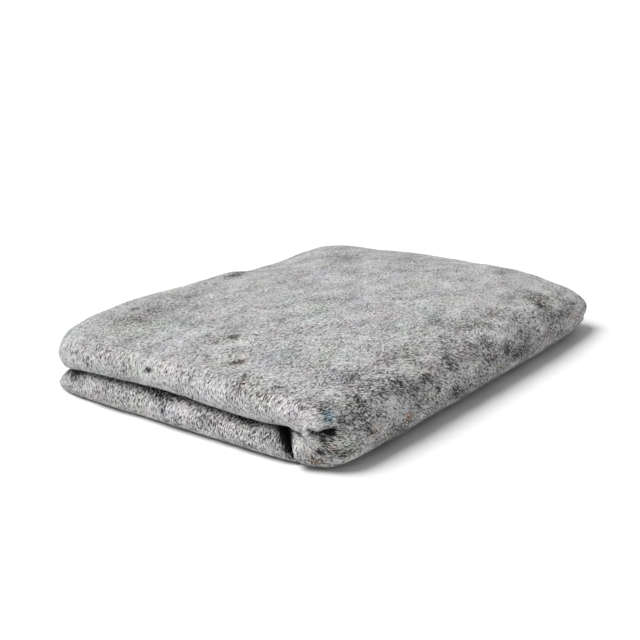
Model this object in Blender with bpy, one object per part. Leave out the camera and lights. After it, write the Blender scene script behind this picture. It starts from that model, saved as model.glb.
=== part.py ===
"""Folded felt moving blanket.

One rectangular sheet of recycled felt, folded in half four times: across its width, across its
length, across its length again and last across its width.  The last fold is the rounded spine on
the -Y side, and the closed rolls of the third fold lie on the -X side.  The bundle rests on z = 0.
Lengths are in metres, +X along the bundle, +Z up.
"""
import math

import bmesh
import bpy
import numpy as np

# The sheet, opened out flat
SHEET_LENGTH = 1.829
SHEET_WIDTH = 1.372
FELT = 0.0025  # thickness of the felt under the weight of the bundle
AIR = 0.0013  # space between two layers that lie on each other

# Grid lines: fractions of a flat panel, and segments round each fold
PANEL_X = (0.0, 0.06, 0.15, 0.27, 0.42, 0.58, 0.73, 0.85, 0.94, 1.0)
PANEL_Y = (0.0, 0.08, 0.20, 0.35, 0.5, 0.65, 0.80, 0.92, 1.0)
TURNS = (4, 4, 6, 8)  # first fold to last fold

# How the bundle sags
ENDS_BACK_Y = 0.020  # the outer layers' ends lie this far inside the middle ones, +Y side
ENDS_BACK_X = 0.010  # the same within each half of the bundle, +X side
PRESS = 0.045  # the lower half is pressed thinner by this share of the height
SPINE_SAG = 0.035  # more of the same along the spine
EDGE_REACH = 0.055  # width of the rim that slumps
SLUMP_LEFT, SLUMP_RIGHT = 0.065, 0.12  # share of the height lost at the -X and +X edges
SLUMP_SPINE, SLUMP_BACK = 0.125, 0.13  # the same at the -Y and +Y edges
OVERHANG = 0.004  # the upper roll leans out past the lower one
CORNERS = {(-1, -1): 0.010, (1, -1): 0.011, (-1, 1): 0.024, (1, 1): 0.016}  # pulled-in corners
CORNER_POWER = 5.0
# Soft swells and hollows of the top: centre x, y, radii x, y, height
SWELLS = (
    (0.200, 0.155, 0.050, 0.040, 0.0030),
    (0.100, 0.160, 0.050, 0.050, -0.0050),
    (0.065, 0.170, 0.025, 0.040, -0.0030),
    (0.200, -0.150, 0.050, 0.050, -0.0035),
    (-0.120, 0.150, 0.050, 0.060, 0.0010),
    (-0.050, -0.030, 0.090, 0.070, 0.0020),
    (0.080, 0.020, 0.070, 0.090, -0.0015),
)


def stack_height(layers):
    """Thickness of 1, 2, 4, 8 or 16 layers with the air between them."""
    return layers * FELT + (layers - 1) * AIR


def neutral(layers):
    """Radius at which a fold over that many layers keeps its length."""
    return (stack_height(layers) + AIR) / 2


CREASE_A = (SHEET_WIDTH - math.pi * neutral(1)) / 2  # first fold, along y
CREASE_B = (SHEET_LENGTH - math.pi * neutral(2)) / 2  # second fold, along x
CREASE_C = (CREASE_B - math.pi * neutral(4)) / 2  # third fold, along x, from the second one
CREASE_D = (CREASE_A - math.pi * neutral(8)) / 2  # last fold, along y
LENGTH = CREASE_C + neutral(2) + stack_height(2) / 2 + neutral(4) + stack_height(4) / 2
WIDTH = CREASE_D + neutral(1) + FELT / 2 + neutral(8) + stack_height(8) / 2
HEIGHT = stack_height(16)


def fold_over(along, height, crease, layers):
    """Turn everything past the crease over the top of what lies before it."""
    radius = stack_height(layers) + AIR / 2
    bend = neutral(layers)
    angle = np.clip((along - crease) / bend, 0.0, math.pi)
    past = np.maximum(along - crease - math.pi * bend, 0.0)
    before = np.minimum(along, crease)
    turned = before + (radius - height) * np.sin(angle) - past
    return turned, radius - (radius - height) * np.cos(angle)


def fold_sheet(along, across, height):
    """Places of the points of the flat sheet once it has been folded four times."""
    y, z = fold_over(across, height, CREASE_A, 1)
    x, z = fold_over(along, z, CREASE_B, 2)
    x, z = fold_over(CREASE_B - x, z, CREASE_C, 4)
    y, z = fold_over(y, z, CREASE_D, 8)
    middle_x = CREASE_C + neutral(4) + stack_height(4) / 2 - LENGTH / 2
    middle_y = CREASE_D + neutral(8) + stack_height(8) / 2 - WIDTH / 2
    return middle_x - x, middle_y - y, z


def sag(x, y, z):
    """Let the square bundle slump, shift and round off the way soft felt does."""
    u = x / (LENGTH / 2)
    v = y / (WIDTH / 2)
    w = z / HEIGHT
    leaf = np.abs(4 * np.minimum(w, 1 - w) - 1)
    y = y - ENDS_BACK_Y * np.abs(2 * w - 1) * np.clip((v + 0.2) / 1.2, 0, 1) ** 2
    x = x - ENDS_BACK_X * leaf * np.clip((u + 0.2) / 1.2, 0, 1) ** 2
    x = x - OVERHANG * w * np.clip(-u, 0, 1) ** 4
    w = w - (PRESS + SPINE_SAG * np.exp(-(((v + 1) / 0.35) ** 2))) * 4 * w * (1 - w)
    share = np.ones_like(w)
    edges = (
        (x + LENGTH / 2, SLUMP_LEFT),
        (LENGTH / 2 - x, SLUMP_RIGHT),
        (y + WIDTH / 2, SLUMP_SPINE),
        (WIDTH / 2 - y, SLUMP_BACK),
    )
    for distance, slump in edges:
        share = share - slump * np.exp(-((distance / EDGE_REACH) ** 2))
    for at_x, at_y, wide_x, wide_y, rise in SWELLS:
        swell = np.exp(-(((x - at_x) / wide_x) ** 2) - ((y - at_y) / wide_y) ** 2)
        share = share + rise / HEIGHT * swell
    inward = np.zeros_like(w)
    for (side_x, side_y), pull in CORNERS.items():
        here = (np.sign(u) == side_x) & (np.sign(v) == side_y)
        inward = inward + np.where(here, pull, 0.0)
    x = x - inward * u * np.abs(v) ** CORNER_POWER
    y = y - inward * v * np.abs(u) ** CORNER_POWER
    return x, y, w * HEIGHT * share


def panel(start, end, fractions):
    return [start + (end - start) * fraction for fraction in fractions[1:]]


def turn(start, end, segments):
    return [start + (end - start) * i / segments for i in range(1, segments + 1)]


def lines_along():
    """Grid lines along the sheet, fine at its three folds."""
    first = CREASE_B - CREASE_C - math.pi * neutral(4)
    second = CREASE_B + math.pi * neutral(2)
    lines = [0.0]
    lines += panel(0.0, first, PANEL_X)
    lines += turn(first, CREASE_B - CREASE_C, TURNS[2])
    lines += panel(CREASE_B - CREASE_C, CREASE_B, PANEL_X)
    lines += turn(CREASE_B, second, TURNS[1])
    lines += panel(second, second + CREASE_C, PANEL_X)
    lines += turn(second + CREASE_C, SHEET_LENGTH - first, TURNS[2])
    lines += panel(SHEET_LENGTH - first, SHEET_LENGTH, PANEL_X)
    return lines


def lines_across():
    """Grid lines across the sheet, fine at its three folds."""
    bend = math.pi * neutral(8)
    second = CREASE_A + math.pi * neutral(1)
    lines = [0.0]
    lines += panel(0.0, CREASE_D, PANEL_Y)
    lines += turn(CREASE_D, CREASE_D + bend, TURNS[3])
    lines += panel(CREASE_D + bend, CREASE_A, PANEL_Y)
    lines += turn(CREASE_A, second, TURNS[0])
    lines += panel(second, SHEET_WIDTH - CREASE_D - bend, PANEL_Y)
    lines += turn(SHEET_WIDTH - CREASE_D - bend, SHEET_WIDTH - CREASE_D, TURNS[3])
    lines += panel(SHEET_WIDTH - CREASE_D, SHEET_WIDTH, PANEL_Y)
    return lines


def sheet_mesh():
    """The flat sheet with its grid lines and thickness, then folded and sagged."""
    along = np.array(lines_along())
    across = np.array(lines_across())
    bm = bmesh.new()
    bmesh.ops.create_grid(bm, x_segments=len(along) - 1, y_segments=len(across) - 1, size=0.5)
    for vertex in bm.verts:
        i = round((vertex.co.x + 0.5) * (len(along) - 1))
        j = round((vertex.co.y + 0.5) * (len(across) - 1))
        vertex.co = (along[i], across[j], FELT)
    bmesh.ops.solidify(bm, geom=bm.faces[:], thickness=FELT)
    flat = np.array([vertex.co for vertex in bm.verts])
    x, y, z = sag(*fold_sheet(flat[:, 0], flat[:, 1], flat[:, 2]))
    x = x - (x.max() + x.min()) / 2
    y = y - (y.max() + y.min()) / 2
    z = z - z.min()
    for vertex, place in zip(bm.verts, zip(x, y, z)):
        vertex.co = place
    bmesh.ops.recalc_face_normals(bm, faces=bm.faces[:])
    mesh = bpy.data.meshes.new("blanket")
    bm.to_mesh(mesh)
    bm.free()
    mesh.shade_smooth()
    return mesh


def felt_material():
    material = bpy.data.materials.new("heather_grey_felt")
    material.use_nodes = True
    shader = material.node_tree.nodes["Principled BSDF"]
    shader.inputs["Base Color"].default_value = (0.36, 0.36, 0.36, 1.0)
    shader.inputs["Roughness"].default_value = 0.95
    return material


for leftover in list(bpy.data.objects):
    bpy.data.objects.remove(leftover, do_unlink=True)

bundle = bpy.data.collections.new("folded_felt_moving_blanket")
bpy.context.scene.collection.children.link(bundle)
blanket = bpy.data.objects.new("blanket", sheet_mesh())
blanket.data.materials.append(felt_material())
bundle.objects.link(blanket)
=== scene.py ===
"""Folded felt moving blanket, as it looks: one sheet of heather-grey recycled felt, folded in half
four times, on a plain pale floor.

The sheet is folded by the same rules and sizes as the CAD solid, on finer grid lines.  It sags like
that solid, but with rounder folded ends and a groove that rises and falls, and then it gets the soft
puckers, dents and ripples that the felt shows.  Lengths are in metres, +Z up.
"""
import math

import bmesh
import bpy
import numpy as np
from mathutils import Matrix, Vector


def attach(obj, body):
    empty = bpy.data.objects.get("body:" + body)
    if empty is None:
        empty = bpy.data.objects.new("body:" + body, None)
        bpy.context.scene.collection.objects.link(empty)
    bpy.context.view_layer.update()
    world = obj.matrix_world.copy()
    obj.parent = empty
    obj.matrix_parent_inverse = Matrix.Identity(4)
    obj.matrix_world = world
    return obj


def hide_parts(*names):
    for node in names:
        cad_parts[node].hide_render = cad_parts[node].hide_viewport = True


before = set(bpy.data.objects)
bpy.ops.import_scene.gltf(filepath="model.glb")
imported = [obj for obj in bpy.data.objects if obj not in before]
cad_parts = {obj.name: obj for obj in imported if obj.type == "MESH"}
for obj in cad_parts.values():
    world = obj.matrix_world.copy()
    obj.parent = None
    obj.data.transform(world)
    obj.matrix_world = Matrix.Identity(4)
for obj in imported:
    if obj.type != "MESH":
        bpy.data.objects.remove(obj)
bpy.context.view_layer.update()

# The sheet, opened out flat, and the air between its layers
SHEET_LENGTH = 1.829
SHEET_WIDTH = 1.372
FELT = 0.0025
AIR = 0.0013

# Grid spacing on the sheet: finest where the near corner gathers it, coarse inside the bundle
FINEST = 0.0018
FINE = 0.0026
MEDIUM = 0.0050
WIDER = 0.0085
COARSE = 0.0220
GATHERED = 0.050  # how far from the spine's bend the finest lines go
TURNS = (6, 10, 16, 26)  # segments round the first to the last fold
INNER_TURNS = 11  # segments round the third fold where another layer hides it

# How the bundle sags, with the CAD solid's sizes
ENDS_BACK_Y = 0.020  # the outer layers' ends lie this far inside the middle ones, +Y side
ENDS_BACK_X = 0.010  # the same within each half of the bundle, +X side
ENDS_FROM = -0.2  # where they start to draw back, from the middle, in half lengths or half widths
PRESS = 0.045  # the lower half is pressed thinner by this share of the height
SPINE_SAG = 0.035  # more of the same along the spine
SPINE_SAG_REACH = 0.35  # in half widths of the bundle
EDGE_REACH = 0.055  # width of the rim that slumps
SLUMP_LEFT, SLUMP_RIGHT = 0.065, 0.12  # share of the height lost at the -X and +X edges
SLUMP_SPINE, SLUMP_BACK = 0.125, 0.13  # the same at the -Y and +Y edges
OVERHANG = 0.004  # the upper roll leans out past the lower one
CORNERS = {(-1, -1): 0.010, (1, -1): 0.011, (-1, 1): 0.024, (1, 1): 0.016}  # pulled-in corners
CORNER_POWER = 5.0

# Unlike the CAD solid, the folded ends have round tips: 1 gives the solid's own, and more rounds them
END_ROUNDNESS = 1.5

# Soft swells and hollows of the top, as in the CAD solid: centre, half widths, height
SWELLS = (
    (0.200, 0.155, 0.050, 0.040, 0.0030),
    (0.100, 0.160, 0.050, 0.050, -0.0050),
    (0.065, 0.170, 0.025, 0.040, -0.0030),
    (0.200, -0.150, 0.050, 0.050, -0.0035),
    (-0.120, 0.150, 0.050, 0.060, 0.0010),
    (-0.050, -0.030, 0.090, 0.070, 0.0020),
    (0.080, 0.020, 0.070, 0.090, -0.0015),
)

# Where the groove between the two rolls rides higher, or lower where the last number is negative:
# centre, half widths, share of the height
LIFTS = (
    (-0.230, -0.145, 0.080, 0.032, 0.11),
    (-0.230, 0.010, 0.080, 0.065, 0.05),
    (-0.230, 0.155, 0.080, 0.040, -0.08),
)

# Soft shifts of whole parts of the bundle: centre, reach each way, move
NUDGES = (
    ((-0.214, 0.130, 0.000), (0.050, 0.045, 0.0065), (-0.0040, 0.0150, 0.0)),  # lower roll's far end
    ((-0.200, 0.150, 0.042), (0.060, 0.050, 0.018), (-0.0010, 0.0052, 0.0)),  # upper roll's far end
    ((-0.180, 0.145, 0.050), (0.050, 0.050, 0.025), (0.0, 0.0, 0.0010)),  # and its crown
    ((-0.200, -0.170, 0.004), (0.050, 0.045, 0.018), (-0.0025, -0.0050, 0.0)),  # near corner's foot
    ((0.197, 0.135, 0.050), (0.022, 0.040, 0.025), (0.0, 0.0, 0.0020)),  # far hump
    ((0.218, 0.088, 0.050), (0.030, 0.028, 0.025), (0.0, 0.0, -0.0030)),  # dip on one side of it
    ((0.140, 0.155, 0.050), (0.035, 0.040, 0.025), (0.0, 0.0, -0.0020)),  # and on the other
    ((0.215, -0.160, 0.024), (0.040, 0.050, 0.011), (0.0016, -0.0022, 0.0)),  # spine's far end
    ((0.205, -0.163, 0.002), (0.045, 0.045, 0.010), (-0.0020, 0.0020, 0.0)),  # and its foot
)

# Puckers of the upright faces.  Each runs between two points of the face, given as distance sideways,
# height and half width, with a depth (negative bulges out).  "turn" is the heading of the inward
# direction in degrees: 0 for the -X face, 45 for the near corner, 90 for the spine.  Some are in the
# lower leaves of the bundle alone.
PUCKER_REACH = 0.060  # how far into the bundle a pucker is felt
BOTH, LOWER = 0, 1
PUCKERS = (
    # turn, leaves, from (sideways, up, half width), to (sideways, up, half width), depth
    (36, LOWER, (-0.0358, 0.0262, 0.0058), (-0.0295, 0.0085, 0.0028), 0.0230),  # notch beside the pleat
    (36, LOWER, (-0.0288, 0.0085, 0.0020), (-0.0225, 0.0020, 0.0012), 0.0050),  # and its tail
    (0, BOTH, (0.1360, 0.0120, 0.0085), (0.1390, 0.0250, 0.0080), -0.0040),  # pleat
    (45, BOTH, (-0.0580, 0.0338, 0.0017), (-0.0535, 0.0310, 0.0022), 0.0050),  # crease round the corner
    (45, BOTH, (-0.0525, 0.0303, 0.0020), (-0.0490, 0.0308, 0.0024), 0.0055),
    (45, BOTH, (-0.0475, 0.0320, 0.0034), (-0.0412, 0.0338, 0.0026), 0.0070),
    (45, BOTH, (-0.0488, 0.0280, 0.0026), (-0.0468, 0.0230, 0.0014), 0.0035),  # its short branch
    (45, BOTH, (-0.0600, 0.0390, 0.0060), (-0.0380, 0.0400, 0.0060), -0.0020),  # lip above it
    (0, LOWER, (0.0740, 0.0270, 0.0040), (0.0880, 0.0245, 0.0045), 0.0040),  # the groove gapes here
    (0, LOWER, (-0.1200, 0.0190, 0.0050), (-0.1120, 0.0190, 0.0050), 0.0070),  # and at its far end
    (-45, BOTH, (-0.0100, 0.0185, 0.0080), (0.0540, 0.0190, 0.0065), 0.0150),  # between the far ends
)

# Where the groove between the rolls closes again: turn, the two ends as above, and how far it is filled
FILLS = (
    (0, (0.1290, 0.0270, 0.0055), (0.1430, 0.0310, 0.0055), 0.85),
    (0, (0.0960, 0.0232, 0.0036), (0.1010, 0.0240, 0.0036), 0.60),
)
FILL_REACH = 0.015  # how far into the bundle it closes

# Gentle unevenness of the top and of the upright faces: wavelength and height
TOP_RIPPLES = ((0.110, 0.0005), (0.034, 0.00025))
FACE_RIPPLES = ((0.060, 0.0005), (0.022, 0.0003))
FACE_REACH = 0.045  # how far in from an upright face its ripples are felt
WAVES = 14  # plane waves in one ripple
WAVE_SPREAD = (0.7, 1.5)  # their lengths, in wavelengths
SEED = 7
END_SEED, SIDE_SEED = 10, 20  # added for the -X and +X faces, and for the -Y and +Y faces

# Layers of fibres, lowest first: heading on the cloth in degrees, length, width, and the share of the
# ground that they cover on the flat and round the spine
FIBRES = (
    (3, 0.0028, 0.0007, 0.45, 0.15),
    (-12, 0.0025, 0.0006, 0.25, 0.20),
    (18, 0.0025, 0.0006, 0.25, 0.15),
    (76, 0.0020, 0.0006, 0.05, 0.25),
    (-47, 0.0026, 0.0006, 0.05, 0.50),
)
FIBRE_SHARE = 0.7  # how far a fibre hides what lies below it
SPINE_FADE = 0.02  # how far past the spine's bend its own pattern fades out
LEAN_ALONG = (0.47, 0.58)  # between these places along the cloth, the spine's fibres come to lean
LEAST_LEAN = 0.45  # how far they lean before it
INNER_SHIFT = 3.0  # how far away on the pattern the sheet's other side is

# Black fibres over them: heading, length, width.  A few lie anywhere, many where the felt is dark.
BLACK_FIBRES = ((22, 0.0030, 0.0010), (-38, 0.0030, 0.0009))
STRAY_SHARE, SPINE_STRAY_SHARE = 0.008, 0.02  # cover on the flat and round the spine
BLACK_SHARE = 0.42  # cover in the darkest places
BLACK_TONE = 0.04

# Noises: scale per metre, detail, roughness
CURL_NOISE = (120.0, 1.0, 0.5)
GRAIN_NOISE = (750.0, 2.0, 0.75)
CLUMP_NOISE = (42.0, 5.0, 0.72)
TINT_NOISE = (30.0, 2.0, 0.5)

CURL = (0.0010, 0.0010, 0.0)  # how far fibres wander off straight
GRAIN, SPINE_GRAIN = 3.0, 2.0  # contrast of the ground's fine grain, and what the spine adds to it
GRAIN_HEADINGS = (6, -45)  # on the flat and round the spine
GRAIN_STRETCH = (2.4, 1.0)  # along the heading and across it
CLUMPS, SPINE_CLUMPS = 0.9, 1.1  # contrast of broad clumps, and the share of it that the spine adds
CLUMP_LEVEL, SPINE_CLUMP_LEVEL = 0.44, 0.04  # the noise that changes nothing, and what the spine adds
CLUMP_HEADING = 2
CLUMP_STRETCH = (1.6, 1.0)
TINT = (0.16, 0.16, 0.16)  # how far the grey leans to one colour or another

# From the fibres' tone, 0 to 1, to the felt's grey
FAR_ALONG = (0.60, 0.90)  # between these places along the cloth the felt gets smoother
FAR_CONTRAST = 0.72
DARKER = 0.30  # how much of the tone a dark place takes away
FIBRE_TONES = ((0.0, 0.03), (0.12, 0.10), (0.28, 0.27), (0.50, 0.47), (0.76, 0.64), (1.0, 0.84))

# Painted shade on the lower leaves, under the upper roll and fading up round the spine, and in the hollows
# of the puckers; it tints the felt as grime does
LOWER_PAINTED_SHADE = 0.22
HOLLOW_PAINTED_SHADE = 1.2
HOLLOW_DEPTH = 0.010  # the depth that counts as one whole hollow
GRIME_AND_SHADE_TINT = (1.0, 0.965, 0.94)
MOST_GRIME_AND_SHADE = 0.8
BURIED = (0.6, 1.4)  # grime and painted shade that starts to look black, and that is all black
BLACK_SHADE = (0.07, 0.06, 0.06)

# The grain breaks up grime, painted shade and the outlines of marks: how strongly, and the share of grime
# and painted shade that is always left
GRIME_AND_SHADE_BREAK = 6.0
LEAST_GRIME_AND_SHADE = 0.2
BURIED_BREAK = 4.0
MARK_WOBBLE = 3.0
MARK_FADE = (0.35, 1.45)  # a mark fades out between these shares of its half sizes
MARK_LIFT = 1.4  # how far beside the felt a mark of no strength lies, in half sizes
STRAND_NUMBERS = (0.20, 0.45)  # random numbers of the fibres that take least and most of a tuft's colour
STRAND_SHARES = (0.45, 0.95)  # and how much of it they take

# Relief of the fibres and of the grain, and how light meets the felt
FIBRE_RELIEF = 0.5
GRAIN_RELIEF = 1.5
BUMP = {"Strength": 0.5, "Distance": 0.0008}
FELT_SURFACE = {
    "Roughness": 0.95,
    "Specular IOR Level": 0.15,
    "Sheen Weight": 0.12,
    "Sheen Roughness": 0.5,
}

# Soft dark patches, lighter where the strength is negative: place along and across the cloth, half
# length, half width, heading in degrees, strength.  Most are the felt's own mottling; those along the
# groove under the upper roll's lip, in the near corner's crease and along the spine's foot are painted
# shade.
PATCHES = (
    # these first four, along the groove under the upper roll's lip: painted shade
    (0.445, 0.16, 0.004, 0.15, 0, 0.3),
    (0.447, 0.035, 0.006, 0.012, 0, 0.5),
    (0.448, 0.162, 0.006, 0.024, 0, 0.7),
    (0.448, 0.252, 0.0055, 0.011, 0, 0.4),
    (0.4525, 0.163, 0.0105, 0.0035, 75, 0.6),
    (0.458, 0.193, 0.008, 0.0055, -70, -0.3),
    (0.458, 0.224, 0.009, 0.0045, -85, 0.35),
    (0.458, 0.285, 0.007, 0.0065, 0, 0.4),
    (0.458, 0.33, 0.014, 0.0065, -85, -0.6),
    (0.46, 0.121, 0.008, 0.0045, -80, 0.25),
    (0.464, 0.054, 0.0135, 0.0045, 90, -0.2),
    (0.464, 0.3815, 0.004, 0.0035, 0, 0.6),
    (0.4665, 0.6575, 0.0045, 0.003, -85, 0.6),
    (0.4685, 0.426, 0.007, 0.003, 90, -0.5),
    (0.469, 0.367, 0.003, 0.003, 0, 0.7),
    (0.4715, 0.6895, 0.016, 0.003, -85, 0.4),
    (0.472, 0.331, 0.0075, 0.004, 85, 0.4),
    (0.475, 0.3775, 0.0035, 0.003, 0, 0.8),
    (0.477, 0.451, 0.0255, 0.0105, 75, 0.4),
    (0.4775, 0.3735, 0.0045, 0.0035, 10, 0.6),
    (0.479, 0.63, 0.027, 0.012, -80, 0.25),
    (0.481, 0.358, 0.0115, 0.005, 15, 0.4),
    (0.482, 0.475, 0.0085, 0.007, 0, 0.3),
    (0.484, 0.399, 0.0095, 0.0045, 50, 0.6),
    (0.4945, 0.4465, 0.004, 0.0035, 0, 0.6),
    (0.502, 0.38, 0.024, 0.011, 5, 0.25),
    (0.503, 0.393, 0.013, 0.0105, 0, 0.25),
    (0.504, 0.5325, 0.01, 0.003, 50, 0.5),
    (0.507, 0.395, 0.005, 0.0045, 0, 0.45),
    (0.508, 0.3715, 0.007, 0.0025, -75, 0.55),
    (0.51, 0.506, 0.005, 0.0045, 0, 0.9),
    (0.515, 0.391, 0.0065, 0.0045, 85, 0.45),
    (0.5175, 0.3955, 0.0075, 0.0035, 40, 0.4),
    (0.528, 0.675, 0.015, 0.0105, 65, 0.3),
    (0.533, 0.55, 0.0045, 0.004, 0, 0.5),
    (0.537, 0.399, 0.031, 0.0085, 0, 0.3),
    (0.538, 0.387, 0.005, 0.0045, 0, 0.4),
    (0.539, 0.42, 0.022, 0.0135, -10, 0.4),
    (0.539, 0.656, 0.0105, 0.0075, 50, 0.4),
    (0.5405, 0.5685, 0.0045, 0.0035, 45, 0.5),
    (0.547, 0.652, 0.017, 0.014, 0, 0.2),
    (0.548, 0.545, 0.0055, 0.005, 0, 0.6),
    (0.559, 0.358, 0.033, 0.008, 5, 0.4),
    (0.562, 0.667, 0.0495, 0.0275, 0, 0.35),
    (0.563, 0.385, 0.016, 0.007, 0, 0.3),
    (0.563, 0.393, 0.006, 0.005, 0, 0.85),
    (0.572, 0.37, 0.006, 0.002, -15, 0.45),
    (0.578, 0.676, 0.0115, 0.008, 55, 0.4),
    (0.591, 0.37, 0.0195, 0.0075, 0, 0.25),
    (0.6, 0.387, 0.006, 0.0045, -75, 0.8),
    (0.608, 0.375, 0.0055, 0.004, 0, 0.9),
    (0.608, 0.42, 0.0385, 0.016, 0, 0.25),
    (0.619, 0.676, 0.016, 0.0155, 0, 0.35),
    (0.632, 0.366, 0.0045, 0.0045, 0, 0.55),
    (0.633, 0.389, 0.008, 0.005, -40, 0.4),
    (0.657, 0.362, 0.0525, 0.0095, 0, 0.45),
    # a long strip along the spine's foot, near the floor: painted shade
    (0.66, 0.338, 0.26, 0.011, 0, 0.45),
    (0.674, 0.389, 0.047, 0.0065, 0, 0.15),
    (0.678, 0.396, 0.005, 0.0045, 0, 0.4),
    (0.701, 0.392, 0.007, 0.0065, 0, 0.7),
    (0.702, 0.439, 0.0095, 0.004, 30, 0.4),
    (0.709, 0.412, 0.06, 0.0175, 0, 0.4),
    (0.7295, 0.4, 0.0065, 0.003, -35, 0.4),
    (0.732, 0.376, 0.0085, 0.0045, -15, 1.2),
    (0.74, 0.719, 0.0165, 0.0115, 45, 0.7),
    (0.7455, 0.367, 0.0115, 0.004, -5, 0.55),
    (0.773, 0.362, 0.048, 0.0075, 0, 0.3),
    (0.774, 0.397, 0.0075, 0.0065, 0, 0.4),
    (0.778, 0.459, 0.0065, 0.006, 0, 0.4),
    (0.829, 0.372, 0.0125, 0.0075, 5, 0.45),
    (0.831, 0.406, 0.019, 0.008, 25, 0.3),
    (0.835, 0.39, 0.0125, 0.0095, 20, 0.6),
    (0.849, 0.4, 0.0335, 0.0285, 0, 0.3),
    (0.852, 0.65, 0.034, 0.025, 40, 0.35),
    (0.8545, 0.4215, 0.007, 0.0035, 25, 0.5),
    (0.859, 0.376, 0.0145, 0.0045, -10, 0.4),
    (0.869, 0.567, 0.0315, 0.0155, 30, 0.3),
    (0.893, 0.469, 0.019, 0.008, 25, 0.5),
    (0.9015, 0.3865, 0.0205, 0.004, 10, 0.45),
)

# Clusters of odd fibres, given in the same way: black, dark, and coloured.  The first black one is a
# painted shadow at the far end of the groove between the rolls.
BLACK_MARKS = (
    (0.447, 0.04, 0.017, 0.0055, -85, 1.0),
    (0.463, 0.173, 0.0025, 0.0025, 0, 1.0),
    (0.467, 0.3485, 0.0065, 0.0035, 80, 1.0),
    (0.4715, 0.571, 0.005, 0.003, -85, 1.0),
    (0.83, 0.3965, 0.0045, 0.0035, -20, 1.0),
)
DARK_MARKS = (
    (0.451, 0.409, 0.02, 0.0045, -75, 0.7),
    (0.464, 0.656, 0.003, 0.0025, 0, 0.7),
    (0.4775, 0.531, 0.0015, 0.0015, 0, 0.9),
    (0.479, 0.6405, 0.0015, 0.001, -65, 0.8),
    (0.4825, 0.476, 0.001, 0.001, 0, 0.9),
    (0.492, 0.447, 0.0035, 0.002, -25, 0.7),
    (0.4935, 0.481, 0.005, 0.0015, 40, 0.8),
    (0.5075, 0.3715, 0.006, 0.001, -60, 0.9),
    (0.5095, 0.505, 0.0055, 0.003, -45, 1.0),
    (0.542, 0.569, 0.003, 0.0015, 45, 0.7),
    (0.55, 0.546, 0.0065, 0.0055, 0, 0.7),
    (0.563, 0.694, 0.008, 0.0055, 55, 0.6),
    (0.565, 0.534, 0.005, 0.0015, -85, 0.7),
    (0.572, 0.3705, 0.0025, 0.001, -20, 0.8),
    (0.5985, 0.386, 0.0055, 0.001, -65, 0.9),
    (0.6075, 0.374, 0.003, 0.0025, 0, 0.9),
    (0.631, 0.366, 0.003, 0.0015, -65, 0.8),
    (0.6785, 0.3965, 0.0035, 0.0015, -85, 0.6),
    (0.6795, 0.695, 0.0085, 0.003, 45, 0.8),
    (0.72, 0.706, 0.0125, 0.012, 0, 0.7),
    (0.747, 0.3665, 0.009, 0.002, -5, 0.8),
    (0.7965, 0.3775, 0.003, 0.0015, -10, 0.7),
)
BROWN_MARKS = (
    (0.472, 0.331, 0.007, 0.0065, 0, 0.5),
    (0.5135, 0.3675, 0.006, 0.0035, -65, 0.5),
    (0.558, 0.364, 0.007, 0.005, 10, 1.0),
    (0.89, 0.3715, 0.0145, 0.004, -10, 0.4),
)
BLUE_MARKS = (
    (0.484, 0.394, 0.0085, 0.0045, 50, 1.0),
    (0.5095, 0.3765, 0.003, 0.0015, -25, 0.7),
    (0.533, 0.49, 0.0045, 0.004, 0, 0.35),
    (0.698, 0.439, 0.0105, 0.0055, 30, 0.35),
)
RED_MARKS = (
    (0.474, 0.363, 0.0085, 0.006, 80, 0.3),
    (0.483, 0.401, 0.0015, 0.001, 45, 0.6),
    (0.4835, 0.4725, 0.002, 0.0015, 70, 1.0),
    (0.5125, 0.4995, 0.0035, 0.002, 40, 0.5),
    (0.7, 0.383, 0.0025, 0.0015, -20, 1.0),
    (0.706, 0.374, 0.004, 0.004, 0, 0.4),
    (0.757, 0.3735, 0.0085, 0.0035, -15, 0.3),
)
OLIVE_MARKS = (
    (0.4895, 0.478, 0.0045, 0.0025, 40, 0.5),
    (0.535, 0.652, 0.0105, 0.008, 50, 0.3),
    (0.654, 0.404, 0.006, 0.004, 15, 0.35),
    (0.7135, 0.365, 0.0085, 0.0025, -20, 0.9),
    (0.7465, 0.41, 0.0035, 0.003, 0, 0.6),
)
COLOUR_MARKS = (  # with the shade that the felt's own colour is multiplied by
    (BROWN_MARKS, (0.80, 0.50, 0.32)),
    (BLUE_MARKS, (0.36, 0.56, 0.70)),
    (RED_MARKS, (0.90, 0.38, 0.42)),
    (OLIVE_MARKS, (0.66, 0.68, 0.34)),
)

# Camera: its place, counted from the middle of the bundle's foot, and how it looks
PHOTO_SIDE = 640  # pixels
FOCAL_PIXELS = 1100.0
SENSOR_WIDTH = 36.0  # millimetres
CAMERA_PLACE = (-0.8133, -0.5845, 0.3390)
CAMERA_HEADING = -53.7  # degrees, counted from +Y
CAMERA_PITCH = -16.88  # degrees above level
CLIP_START = 0.01

# Light and floor
SKY_STRENGTH = 0.32
SUN_TOWARD = (-0.41, 0.38, 0.83)  # from the bundle to the sun
SUN_SPREAD = 40.0  # degrees
SUN_STRENGTH = 3.35
FLOOR_REACH = 40.0  # from the middle to each side
FLOOR_LEVEL = 0.92  # its grey
FLOOR_ROUGHNESS = 0.9


def stack_height(layers):
    """Thickness of 1, 2, 4, 8 or 16 layers with the air between them."""
    return layers * FELT + (layers - 1) * AIR


def neutral(layers):
    """Radius at which a fold over that many layers keeps its length."""
    return (stack_height(layers) + AIR) / 2


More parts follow.
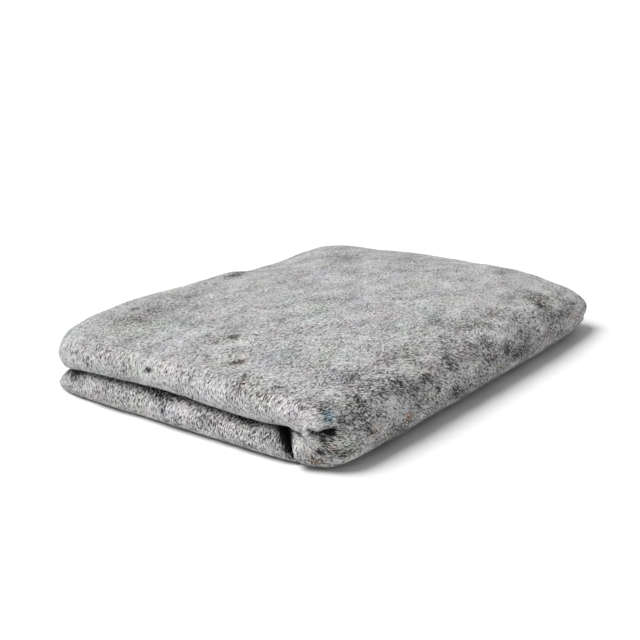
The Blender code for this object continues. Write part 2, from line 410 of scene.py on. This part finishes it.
CREASE_A = (SHEET_WIDTH - math.pi * neutral(1)) / 2  # first fold, across the sheet
CREASE_B = (SHEET_LENGTH - math.pi * neutral(2)) / 2  # second fold, along it
CREASE_C = (CREASE_B - math.pi * neutral(4)) / 2  # third fold, along, from the second one
CREASE_D = (CREASE_A - math.pi * neutral(8)) / 2  # last fold, across
LENGTH = CREASE_C + neutral(2) + stack_height(2) / 2 + neutral(4) + stack_height(4) / 2
WIDTH = CREASE_D + neutral(1) + FELT / 2 + neutral(8) + stack_height(8) / 2
HEIGHT = stack_height(16)

# Where the bends start along and across the cloth, and how many layers they turn over
ROLL_START = CREASE_B - CREASE_C - math.pi * neutral(4)
BENDS_ALONG = ((ROLL_START, 4), (CREASE_B, 2))
BENDS_ACROSS = ((CREASE_D, 8), (CREASE_A, 1))


# ---------------------------------------------------------------- folding


def fold_over(along, height, crease, layers):
    """Turn everything past the crease over the top of what lies before it."""
    radius = stack_height(layers) + AIR / 2
    bend = neutral(layers)
    angle = np.clip((along - crease) / bend, 0.0, math.pi)
    past = np.maximum(along - crease - math.pi * bend, 0.0)
    before = np.minimum(along, crease)
    turned = before + (radius - height) * np.sin(angle) - past
    return turned, radius - (radius - height) * np.cos(angle)


def fold_sheet(along, across, height):
    """Places of the points of the flat sheet once it has been folded four times."""
    y, z = fold_over(across, height, CREASE_A, 1)
    x, z = fold_over(along, z, CREASE_B, 2)
    x, z = fold_over(CREASE_B - x, z, CREASE_C, 4)
    y, z = fold_over(y, z, CREASE_D, 8)
    middle_x = CREASE_C + neutral(4) + stack_height(4) / 2 - LENGTH / 2
    middle_y = CREASE_D + neutral(8) + stack_height(8) / 2 - WIDTH / 2
    return middle_x - x, middle_y - y, z


def toward_ends(share):
    """0 up to where the layers' ends start to draw back, then rising to 1 at the ends."""
    return np.clip((share - ENDS_FROM) / (1 - ENDS_FROM), 0, 1) ** 2


def sag(x, y, z):
    """Let the square bundle slump, shift and round off like the CAD solid."""
    u = x / (LENGTH / 2)
    v = y / (WIDTH / 2)
    w = z / HEIGHT
    leaf = np.abs(4 * np.minimum(w, 1 - w) - 1) ** END_ROUNDNESS
    y = y - ENDS_BACK_Y * np.abs(2 * w - 1) * toward_ends(v)
    x = x - ENDS_BACK_X * leaf * toward_ends(u)
    x = x - OVERHANG * w * np.clip(-u, 0, 1) ** 4
    sunk = PRESS + SPINE_SAG * np.exp(-(((v + 1) / SPINE_SAG_REACH) ** 2))
    for at_x, at_y, wide_x, wide_y, lift in LIFTS:
        sunk = sunk - lift * np.exp(-(((x - at_x) / wide_x) ** 2) - ((y - at_y) / wide_y) ** 2)
    w = w - sunk * 4 * w * (1 - w)
    share = np.ones_like(w)
    edges = (
        (x + LENGTH / 2, SLUMP_LEFT),
        (LENGTH / 2 - x, SLUMP_RIGHT),
        (y + WIDTH / 2, SLUMP_SPINE),
        (WIDTH / 2 - y, SLUMP_BACK),
    )
    for distance, slump in edges:
        share = share - slump * np.exp(-((distance / EDGE_REACH) ** 2))
    for at_x, at_y, wide_x, wide_y, rise in SWELLS:
        swell = np.exp(-(((x - at_x) / wide_x) ** 2) - ((y - at_y) / wide_y) ** 2)
        share = share + rise / HEIGHT * swell
    inward = np.zeros_like(w)
    for (side_x, side_y), pull in CORNERS.items():
        here = (np.sign(u) == side_x) & (np.sign(v) == side_y)
        inward = inward + np.where(here, pull, 0.0)
    x = x - inward * u * np.abs(v) ** CORNER_POWER
    y = y - inward * v * np.abs(u) ** CORNER_POWER
    z = w * HEIGHT * share
    return x - (x.max() + x.min()) / 2, y - (y.max() + y.min()) / 2, z - z.min()


def nudge(x, y, z):
    """Shift whole soft parts of the bundle."""
    place = np.stack([x, y, z])
    for centre, reach, move in NUDGES:
        off = [(at - middle) / wide for at, middle, wide in zip((x, y, z), centre, reach)]
        felt_by = np.exp(-sum(each**2 for each in off))
        place += np.multiply.outer(move, felt_by)
    return place


def ripple(across, up, wavelength, seed):
    """Uneven ground with bumps of about that wavelength: a sum of plane waves, -1 to 1 or so."""
    draw = np.random.default_rng(SEED + seed)
    total = np.zeros_like(across)
    for _ in range(WAVES):
        heading = draw.uniform(0, math.pi)
        count = 2 * math.pi / (wavelength * draw.uniform(*WAVE_SPREAD))
        phase = draw.uniform(0, 2 * math.pi)
        total += np.cos(count * (across * math.cos(heading) + up * math.sin(heading)) + phase)
    return total / math.sqrt(WAVES)


def roughen(x, y, z):
    """Gentle ripples of the top and the upright faces."""
    above = np.clip(z / HEIGHT, 0, 1)
    from_left = np.clip(1 - (x - x.min()) / FACE_REACH, 0, 1) ** 2
    from_spine = np.clip(1 - (y - y.min()) / FACE_REACH, 0, 1) ** 2
    from_right = np.clip(1 - (x.max() - x) / FACE_REACH, 0, 1) ** 2
    from_back = np.clip(1 - (y.max() - y) / FACE_REACH, 0, 1) ** 2
    up = np.zeros_like(z)
    for number, (wavelength, rise) in enumerate(TOP_RIPPLES):
        up = up + rise * above * ripple(x, y, wavelength, number)
    out_x = np.zeros_like(z)
    out_y = np.zeros_like(z)
    for number, (wavelength, rise) in enumerate(FACE_RIPPLES):
        along_y = ripple(y, z, wavelength, END_SEED + number)
        along_x = ripple(x, z, wavelength, SIDE_SEED + number)
        out_x = out_x + rise * (from_left + from_right) * along_y
        out_y = out_y + rise * (from_spine + from_back) * along_x
    return x + out_x, y + out_y, z + up


def near_line(x, y, z, turn, start, end):
    """Facing a heading: its direction, how far inside each point is, and how far off a line, in the
    line's half widths.
    """
    heading = math.radians(turn)
    inward = (math.cos(heading), math.sin(heading))
    inside = x * inward[0] + y * inward[1]
    sideways = x * inward[1] - y * inward[0]
    run_s, run_z = end[0] - start[0], end[1] - start[1]
    share = ((sideways - start[0]) * run_s + (z - start[1]) * run_z) / (run_s**2 + run_z**2)
    share = np.clip(share, 0, 1)
    off = np.hypot(sideways - start[0] - share * run_s, z - start[1] - share * run_z)
    return inward, inside, off / (start[2] + share * (end[2] - start[2]))


def fill(x, y, z):
    """Draw the groove between the rolls out to the surface, where the felt closes it."""
    for turn, start, end, amount in FILLS:
        inward, inside, off = near_line(x, y, z, turn, start, end)
        depth = np.maximum(inside - inside[off < 1].min(), 0)
        push = -amount * depth * np.exp(-((depth / FILL_REACH) ** 2) - off**3)
        x = x + push * inward[0]
        y = y + push * inward[1]
    return x, y, z


def pucker(x, y, z, lower):
    """Soft dents and bulges of the upright faces, which the layers behind follow.

    lower tells how far a point belongs to the lower leaves of the bundle, from 0 to 1.
    """
    move_x = np.zeros_like(x)
    move_y = np.zeros_like(y)
    hollow = np.zeros_like(z)
    for turn, leaves, start, end, depth in PUCKERS:
        inward, inside, off = near_line(x, y, z, turn, start, end)
        here = off < 1
        if leaves == LOWER:
            here &= lower > 0.5
        felt_by = np.clip(1 - (inside - inside[here].min()) / PUCKER_REACH, 0, 1) ** 2
        push = depth * felt_by * np.exp(-(off**3))
        if leaves == LOWER:
            push = push * lower
        move_x += push * inward[0]
        move_y += push * inward[1]
        hollow = np.maximum(hollow, push / HOLLOW_DEPTH)
    return x + move_x, y + move_y, z, hollow


# ---------------------------------------------------------------- the sheet's mesh


def turned(start, end, segments):
    """Lines after the start, up to the end and with it."""
    return [start + (end - start) * i / segments for i in range(1, segments + 1)]


def spaced(start, end, spacing):
    return turned(start, end, max(1, round((end - start) / spacing)))


def lines_along():
    """Grid lines along the sheet; its second quarter is the one that shows."""
    first = ROLL_START
    shown = CREASE_B - CREASE_C
    second = CREASE_B + math.pi * neutral(2)
    lines = [0.0]
    lines += spaced(0.0, first, COARSE)
    lines += turned(first, shown, TURNS[2])
    lines += spaced(shown, shown + GATHERED / 2, FINE)
    lines += spaced(shown + GATHERED / 2, CREASE_B, MEDIUM)
    lines += turned(CREASE_B, second, TURNS[1])
    lines += spaced(second, second + CREASE_C, COARSE)
    lines += turned(second + CREASE_C, SHEET_LENGTH - first, INNER_TURNS)
    lines += spaced(SHEET_LENGTH - first, SHEET_LENGTH, COARSE)
    return lines


def lines_across():
    """Grid lines across the sheet; its second quarter is the one on top."""
    top = CREASE_D + math.pi * neutral(8)
    second = CREASE_A + math.pi * neutral(1)
    lines = [0.0]
    lines += spaced(0.0, CREASE_D - GATHERED, WIDER)
    lines += spaced(CREASE_D - GATHERED, CREASE_D, FINEST)
    lines += turned(CREASE_D, top, TURNS[3])
    lines += spaced(top, top + GATHERED / 2, FINE)
    lines += spaced(top + GATHERED / 2, CREASE_A, MEDIUM)
    lines += turned(CREASE_A, second, TURNS[0])
    lines += spaced(second, SHEET_WIDTH - top, COARSE)
    lines += turned(SHEET_WIDTH - top, SHEET_WIDTH - CREASE_D, TURNS[3])
    lines += spaced(SHEET_WIDTH - CREASE_D, SHEET_WIDTH - CREASE_D + GATHERED, FINEST)
    lines += spaced(SHEET_WIDTH - CREASE_D + GATHERED, SHEET_WIDTH, COARSE)
    return lines


def in_lower_leaves(across):
    """1 where the sheet lies in the lower half of the bundle, 0 in the upper half."""
    round_spine = (np.minimum(across, SHEET_WIDTH - across) - CREASE_D) / (math.pi * neutral(8))
    round_spine = np.clip(round_spine, 0, 1)
    return 1 - round_spine**2 * (3 - 2 * round_spine)


def skin(place, bends):
    """Places on the cloth one way, with the bends let out to their length on the outer skin."""
    longer = place.copy()
    for start, layers in bends:
        spread = (stack_height(layers) + AIR / 2) / neutral(layers)
        longer += (spread - 1) * np.clip(place - start, 0, math.pi * neutral(layers))
    return longer


def cloth_places(mesh, s, t, n):
    """Where each face's corners are on the cloth; a cut edge goes on from the side next to it."""
    corners = np.empty(len(mesh.loops), dtype=np.int32)
    mesh.loops.foreach_get("vertex_index", corners)
    s, t, n = s[corners], t[corners], n[corners]
    cut = np.repeat(np.ptp(n.reshape(-1, 4), axis=1) > 0, 4)
    return np.stack([s + cut * n, t + cut * n, np.where(cut, 0, n)], axis=1)


def grime_and_painted_shade(s, t, lower, hollow):
    """How grimy and how darkened by painted shade the felt is: painted shade on the lower leaves and
    in whatever lies in a hollow, and soft patches, partly the felt's mottling and partly painted shade.
    """
    total = LOWER_PAINTED_SHADE * lower + HOLLOW_PAINTED_SHADE * hollow
    for at_s, at_t, length, width, heading, strength in PATCHES:
        turn = math.radians(heading)
        ahead = (s - at_s) * math.cos(turn) + (t - at_t) * math.sin(turn)
        aside = (t - at_t) * math.cos(turn) - (s - at_s) * math.sin(turn)
        total = total + strength * np.exp(-((ahead / length) ** 2) - (aside / width) ** 2)
    return total


def face_number(face, points):
    """A number of its own for each face, to put the faces of the cut edges in the same order each time."""
    numbers = [vertex.index for vertex in face.verts]
    return min(numbers) * points + max(numbers)


def flat_sheet():
    """The sheet opened out flat, as thick as the felt: x along it, y across it."""
    along = np.array(lines_along())
    across = np.array(lines_across())
    bm = bmesh.new()
    bmesh.ops.create_grid(bm, x_segments=len(along) - 1, y_segments=len(across) - 1, size=0.5)
    for vertex in bm.verts:
        i = round((vertex.co.x + 0.5) * (len(along) - 1))
        j = round((vertex.co.y + 0.5) * (len(across) - 1))
        vertex.co = (along[i], across[j], FELT)
    bmesh.ops.solidify(bm, geom=bm.faces[:], thickness=FELT)
    bm.verts.index_update()
    bm.faces.sort(key=lambda face: face_number(face, len(bm.verts)))
    mesh = bpy.data.meshes.new("felt_sheet")
    bm.to_mesh(mesh)
    bm.free()
    return mesh


def sheet_mesh():
    """The folded sheet, with each point's place on the cloth and how grimy and how darkened by painted
    shade it is there.
    """
    mesh = flat_sheet()
    flat = np.empty(len(mesh.vertices) * 3, dtype=np.float32)
    mesh.vertices.foreach_get("co", flat)
    s, t, n = flat.reshape(-1, 3).astype(float).T
    x, y, z = fill(*roughen(*nudge(*sag(*fold_sheet(s, t, n)))))
    lower = in_lower_leaves(t)
    x, y, z, hollow = pucker(x, y, z, lower)
    place = np.stack([x, y, z], axis=1)
    mesh.vertices.foreach_set("co", place.astype(np.float32).ravel())
    bm = bmesh.new()
    bm.from_mesh(mesh)
    bmesh.ops.recalc_face_normals(bm, faces=bm.faces[:])
    bm.to_mesh(mesh)
    bm.free()
    mesh.shade_smooth()

    s, t = skin(s, BENDS_ALONG), skin(t, BENDS_ACROSS)
    cloth = mesh.attributes.new("cloth", "FLOAT_VECTOR", "CORNER")
    cloth.data.foreach_set("vector", cloth_places(mesh, s, t, n).astype(np.float32).ravel())
    grime_and_shade = mesh.attributes.new("grime_and_shade", "FLOAT", "POINT")
    grime_and_shade.data.foreach_set("value", grime_and_painted_shade(s, t, lower, hollow).astype(np.float32))
    return mesh


# ---------------------------------------------------------------- materials


class Shader:
    """Makes and links the nodes of one material."""

    def __init__(self, name):
        self.material = bpy.data.materials.new(name)
        self.material.use_nodes = True
        self.tree = self.material.node_tree
        self.surface = self.tree.nodes["Principled BSDF"]

    def add(self, kind, inputs=(), **settings):
        node = self.tree.nodes.new(kind)
        for name, value in settings.items():
            setattr(node, name, value)
        for key, value in dict(inputs).items():
            if isinstance(value, bpy.types.NodeSocket):
                self.tree.links.new(value, node.inputs[key])
            else:
                node.inputs[key].default_value = value
        return node

    def math(self, operation, a, b=0.0, c=0.0):
        return self.add("ShaderNodeMath", {0: a, 1: b, 2: c}, operation=operation).outputs[0]

    def vector(self, operation, a, b=(0.0, 0.0, 0.0)):
        return self.add("ShaderNodeVectorMath", {0: a, 1: b}, operation=operation).outputs[0]

    def noise(self, vector, scale, detail, roughness):
        inputs = {"Vector": vector, "Scale": scale, "Detail": detail, "Roughness": roughness}
        return self.add("ShaderNodeTexNoise", inputs)

    def stirred(self, vector, noise, amount):
        """Smooth random vectors about zero, up to about half the amount each way."""
        random = self.noise(vector, *noise).outputs["Color"]
        return self.vector("MULTIPLY", self.vector("SUBTRACT", random, (0.5, 0.5, 0.5)), amount)

    def between(self, value, low, high, to_low=0.0, to_high=1.0):
        inputs = {"Value": value, 1: low, 2: high, 3: to_low, 4: to_high}
        return self.add("ShaderNodeMapRange", inputs, interpolation_type="SMOOTHSTEP").outputs[0]

    def laid(self, vector, heading, size, place=(0.0, 0.0, 0.0)):
        """The vector, counted from a place along a heading in units of a size."""
        turn = (0.0, 0.0, math.radians(heading))
        inputs = {"Vector": vector, "Location": place, "Rotation": turn, "Scale": (*size, 1.0)}
        return self.add("ShaderNodeMapping", inputs, vector_type="TEXTURE").outputs[0]

    def blend(self, share, a, b):
        return self.add("ShaderNodeMix", {0: share, 2: a, 3: b}, data_type="FLOAT").outputs[0]

    def stain(self, share, colour, shade):
        """The colour, a share of it multiplied by a shade."""
        inputs = {0: share, 6: colour, 7: (*shade, 1.0)}
        return self.add("ShaderNodeMix", inputs, data_type="RGBA", blend_type="MULTIPLY").outputs[2]

    def ramp(self, value, stops):
        """Greys that follow a value through stops of (value, level)."""
        node = self.add("ShaderNodeValToRGB", {0: value})
        band = node.color_ramp
        while len(band.elements) < len(stops):
            band.elements.new(0.5)
        for element, (position, level) in zip(band.elements, stops):
            element.position = position
            element.color = (level, level, level, 1.0)
        return node.outputs[0]

    def cells(self, vector, heading, size):
        """Three random numbers for each of the long cells that fill the ground."""
        inputs = {"Vector": self.laid(vector, heading, size), "Scale": 1.0}
        cells = self.add("ShaderNodeTexVoronoi", inputs, voronoi_dimensions="2D")
        return self.add("ShaderNodeSeparateColor", {0: cells.outputs["Color"]}).outputs

    def marks(self, vector, wobble, rows):
        """Soft uneven spots, 1 in the middle of a strong one."""
        nearest = 9.0  # far from them all
        for s, t, length, width, heading, strength in rows:
            place = (s, t, MARK_LIFT * (1.0 - strength))
            away = self.laid(vector, heading, (length, width), place)
            away = self.add("ShaderNodeVectorMath", {0: away}, operation="LENGTH").outputs["Value"]
            nearest = self.math("MINIMUM", nearest, away)
        return self.between(self.math("ADD", nearest, wobble), *MARK_FADE, 1.0, 0.0)


def spine_share(felt, across):
    """1 round the spine's bend, as long as it is on the outer skin, and 0 on the flat."""
    bend_end = CREASE_D + math.pi * (stack_height(8) + AIR / 2)
    before_end = felt.between(across, bend_end - SPINE_FADE, bend_end + SPINE_FADE, 1.0, 0.0)
    past_start = felt.between(across, CREASE_D - SPINE_FADE / 2, CREASE_D + SPINE_FADE)
    return felt.math("MULTIPLY", before_end, past_start)


def lay_fibres(felt, curled, leaning, ground):
    """Lay the fibres over the ground's tone: the tone that shows, and how high it lies, 0 to 1."""
    tone, height = ground, 0.5
    for heading, length, width, cover, cover_spine in FIBRES:
        cells = felt.cells(curled, heading, (length, width))
        covers = felt.math("LESS_THAN", cells[1], felt.blend(leaning, cover, cover_spine))
        covers = felt.math("MULTIPLY", covers, FIBRE_SHARE)
        tone = felt.blend(covers, tone, cells[0])
        height = felt.blend(covers, height, cells[2])
    return tone, height


def clumps(felt, flat, round_spine):
    """Broad uneven patches of the ground, about zero."""
    clump = felt.noise(felt.laid(flat, CLUMP_HEADING, CLUMP_STRETCH), *CLUMP_NOISE).outputs["Fac"]
    level = felt.math("MULTIPLY_ADD", round_spine, SPINE_CLUMP_LEVEL, CLUMP_LEVEL)
    contrast = felt.math("MULTIPLY_ADD", round_spine, SPINE_CLUMPS, 1.0)
    return felt.math("MULTIPLY", felt.math("SUBTRACT", clump, level), contrast)


def felt_material():
    """Heathered felt: short fibres of many greys lie over each other in every direction."""
    felt = Shader("heather_grey_felt")
    cloth = felt.add("ShaderNodeAttribute", attribute_name="cloth").outputs["Vector"]
    grime_and_shade = felt.add("ShaderNodeAttribute", attribute_name="grime_and_shade").outputs["Fac"]
    along, across, inside = felt.add("ShaderNodeSeparateXYZ", {0: cloth}).outputs
    shifted = felt.math("ADD", across, felt.math("MULTIPLY", inside, INNER_SHIFT / FELT))
    flat = felt.add("ShaderNodeCombineXYZ", {0: along, 1: shifted}).outputs[0]
    curled = felt.vector("ADD", flat, felt.stirred(flat, CURL_NOISE, CURL))
    round_spine = spine_share(felt, across)
    leaning = felt.math("MULTIPLY", round_spine, felt.between(along, *LEAN_ALONG, LEAST_LEAN, 1.0))

    # Tone of the clean felt
    grains = [felt.laid(curled, heading, GRAIN_STRETCH) for heading in GRAIN_HEADINGS]
    grains = [felt.noise(laid, *GRAIN_NOISE).outputs["Fac"] for laid in grains]
    grain = felt.math("SUBTRACT", felt.blend(leaning, *grains), 0.5)
    contrast = felt.math("MULTIPLY_ADD", round_spine, SPINE_GRAIN, GRAIN)
    ground = felt.math("MULTIPLY_ADD", grain, contrast, 0.5)
    tone, height = lay_fibres(felt, curled, leaning, ground)
    contrast = felt.blend(round_spine, felt.between(along, *FAR_ALONG, 1.0, FAR_CONTRAST), 1.0)
    tone = felt.math("MULTIPLY_ADD", felt.math("SUBTRACT", tone, 0.5), contrast, 0.5)
    tone = felt.math("MULTIPLY_ADD", clumps(felt, flat, round_spine), -CLUMPS, tone)

    # Dark places, where black fibres gather: dark marks, grime and painted shade
    wobble = felt.math("MULTIPLY", grain, MARK_WOBBLE)
    dark = felt.marks(flat, wobble, DARK_MARKS)
    broken = felt.math("MULTIPLY_ADD", grain, -GRIME_AND_SHADE_BREAK, 1.0)
    dark = felt.math("MULTIPLY_ADD", felt.math("MAXIMUM", broken, LEAST_GRIME_AND_SHADE), grime_and_shade, dark)
    tone = felt.math("MULTIPLY_ADD", dark, -DARKER, tone)
    stray = felt.blend(round_spine, STRAY_SHARE, SPINE_STRAY_SHARE)
    share = felt.math("MULTIPLY_ADD", felt.math("MULTIPLY", dark, dark), BLACK_SHARE, stray)
    for heading, length, width in BLACK_FIBRES:
        cells = felt.cells(curled, heading, (length, width))
        tone = felt.blend(felt.math("LESS_THAN", cells[1], share), tone, BLACK_TONE)
    colour = felt.ramp(tone, FIBRE_TONES)

    # Tints, the tint of grime and painted shade, coloured tufts, and what is all black: black tufts and
    # painted shade at its deepest
    tint = felt.vector("ADD", felt.stirred(flat, TINT_NOISE, TINT), (1.0, 1.0, 1.0))
    colour = felt.vector("MULTIPLY", colour, tint)
    colour = felt.stain(felt.math("MINIMUM", grime_and_shade, MOST_GRIME_AND_SHADE), colour, GRIME_AND_SHADE_TINT)
    strands = felt.between(cells[2], *STRAND_NUMBERS, *STRAND_SHARES)
    for rows, shade in COLOUR_MARKS:
        spot = felt.math("MULTIPLY", felt.marks(flat, wobble, rows), strands)
        colour = felt.stain(spot, colour, shade)
    buried = felt.between(felt.math("MULTIPLY_ADD", grain, -BURIED_BREAK, grime_and_shade), *BURIED)
    buried = felt.math("MAXIMUM", buried, felt.marks(flat, wobble, BLACK_MARKS))
    colour = felt.stain(buried, colour, BLACK_SHADE)
    felt.tree.links.new(colour, felt.surface.inputs["Base Color"])

    relief = felt.math("MULTIPLY_ADD", height, FIBRE_RELIEF, felt.math("MULTIPLY", grain, GRAIN_RELIEF))
    bump = felt.add("ShaderNodeBump", {**BUMP, "Height": relief})
    felt.tree.links.new(bump.outputs[0], felt.surface.inputs["Normal"])
    for name, value in FELT_SURFACE.items():
        felt.surface.inputs[name].default_value = value
    return felt.material


def plain_material(name, level, roughness):
    paint = Shader(name)
    paint.surface.inputs["Base Color"].default_value = (level, level, level, 1.0)
    paint.surface.inputs["Roughness"].default_value = roughness
    return paint.material


# ---------------------------------------------------------------- the scene


def add_object(name, mesh, material):
    item = bpy.data.objects.new(name, mesh)
    mesh.materials.append(material)
    bpy.context.scene.collection.objects.link(item)
    return item


def add_floor():
    bm = bmesh.new()
    bmesh.ops.create_grid(bm, x_segments=1, y_segments=1, size=FLOOR_REACH)
    mesh = bpy.data.meshes.new("floor")
    bm.to_mesh(mesh)
    bm.free()
    floor = add_object("floor", mesh, plain_material("white_floor", FLOOR_LEVEL, FLOOR_ROUGHNESS))


def add_camera():
    lens = bpy.data.cameras.new("camera")
    lens.sensor_width = SENSOR_WIDTH
    lens.lens = FOCAL_PIXELS / PHOTO_SIDE * SENSOR_WIDTH
    lens.clip_start = CLIP_START
    camera = bpy.data.objects.new("camera", lens)
    camera.location = CAMERA_PLACE
    camera.rotation_euler = (math.radians(90 + CAMERA_PITCH), 0.0, math.radians(CAMERA_HEADING))
    bpy.context.scene.collection.objects.link(camera)
    bpy.context.scene.camera = camera


def add_sun():
    lamp = bpy.data.lights.new("key_light", "SUN")
    lamp.angle = math.radians(SUN_SPREAD)
    lamp.energy = SUN_STRENGTH
    light = bpy.data.objects.new("key_light", lamp)
    light.rotation_euler = Vector(SUN_TOWARD).to_track_quat("Z", "Y").to_euler()
    bpy.context.scene.collection.objects.link(light)


def add_sky():
    world = bpy.data.worlds.new("studio")
    world.use_nodes = True
    sky = world.node_tree.nodes["Background"].inputs
    sky["Color"].default_value = (1.0, 1.0, 1.0, 1.0)
    sky["Strength"].default_value = SKY_STRENGTH
    bpy.context.scene.world = world


add_camera()
add_floor()
add_sky()
add_sun()

blanket = add_object("felt_blanket", sheet_mesh(), felt_material())
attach(blanket, "root")
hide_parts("blanket")
bpy.context.scene.view_settings.view_transform = "Standard"
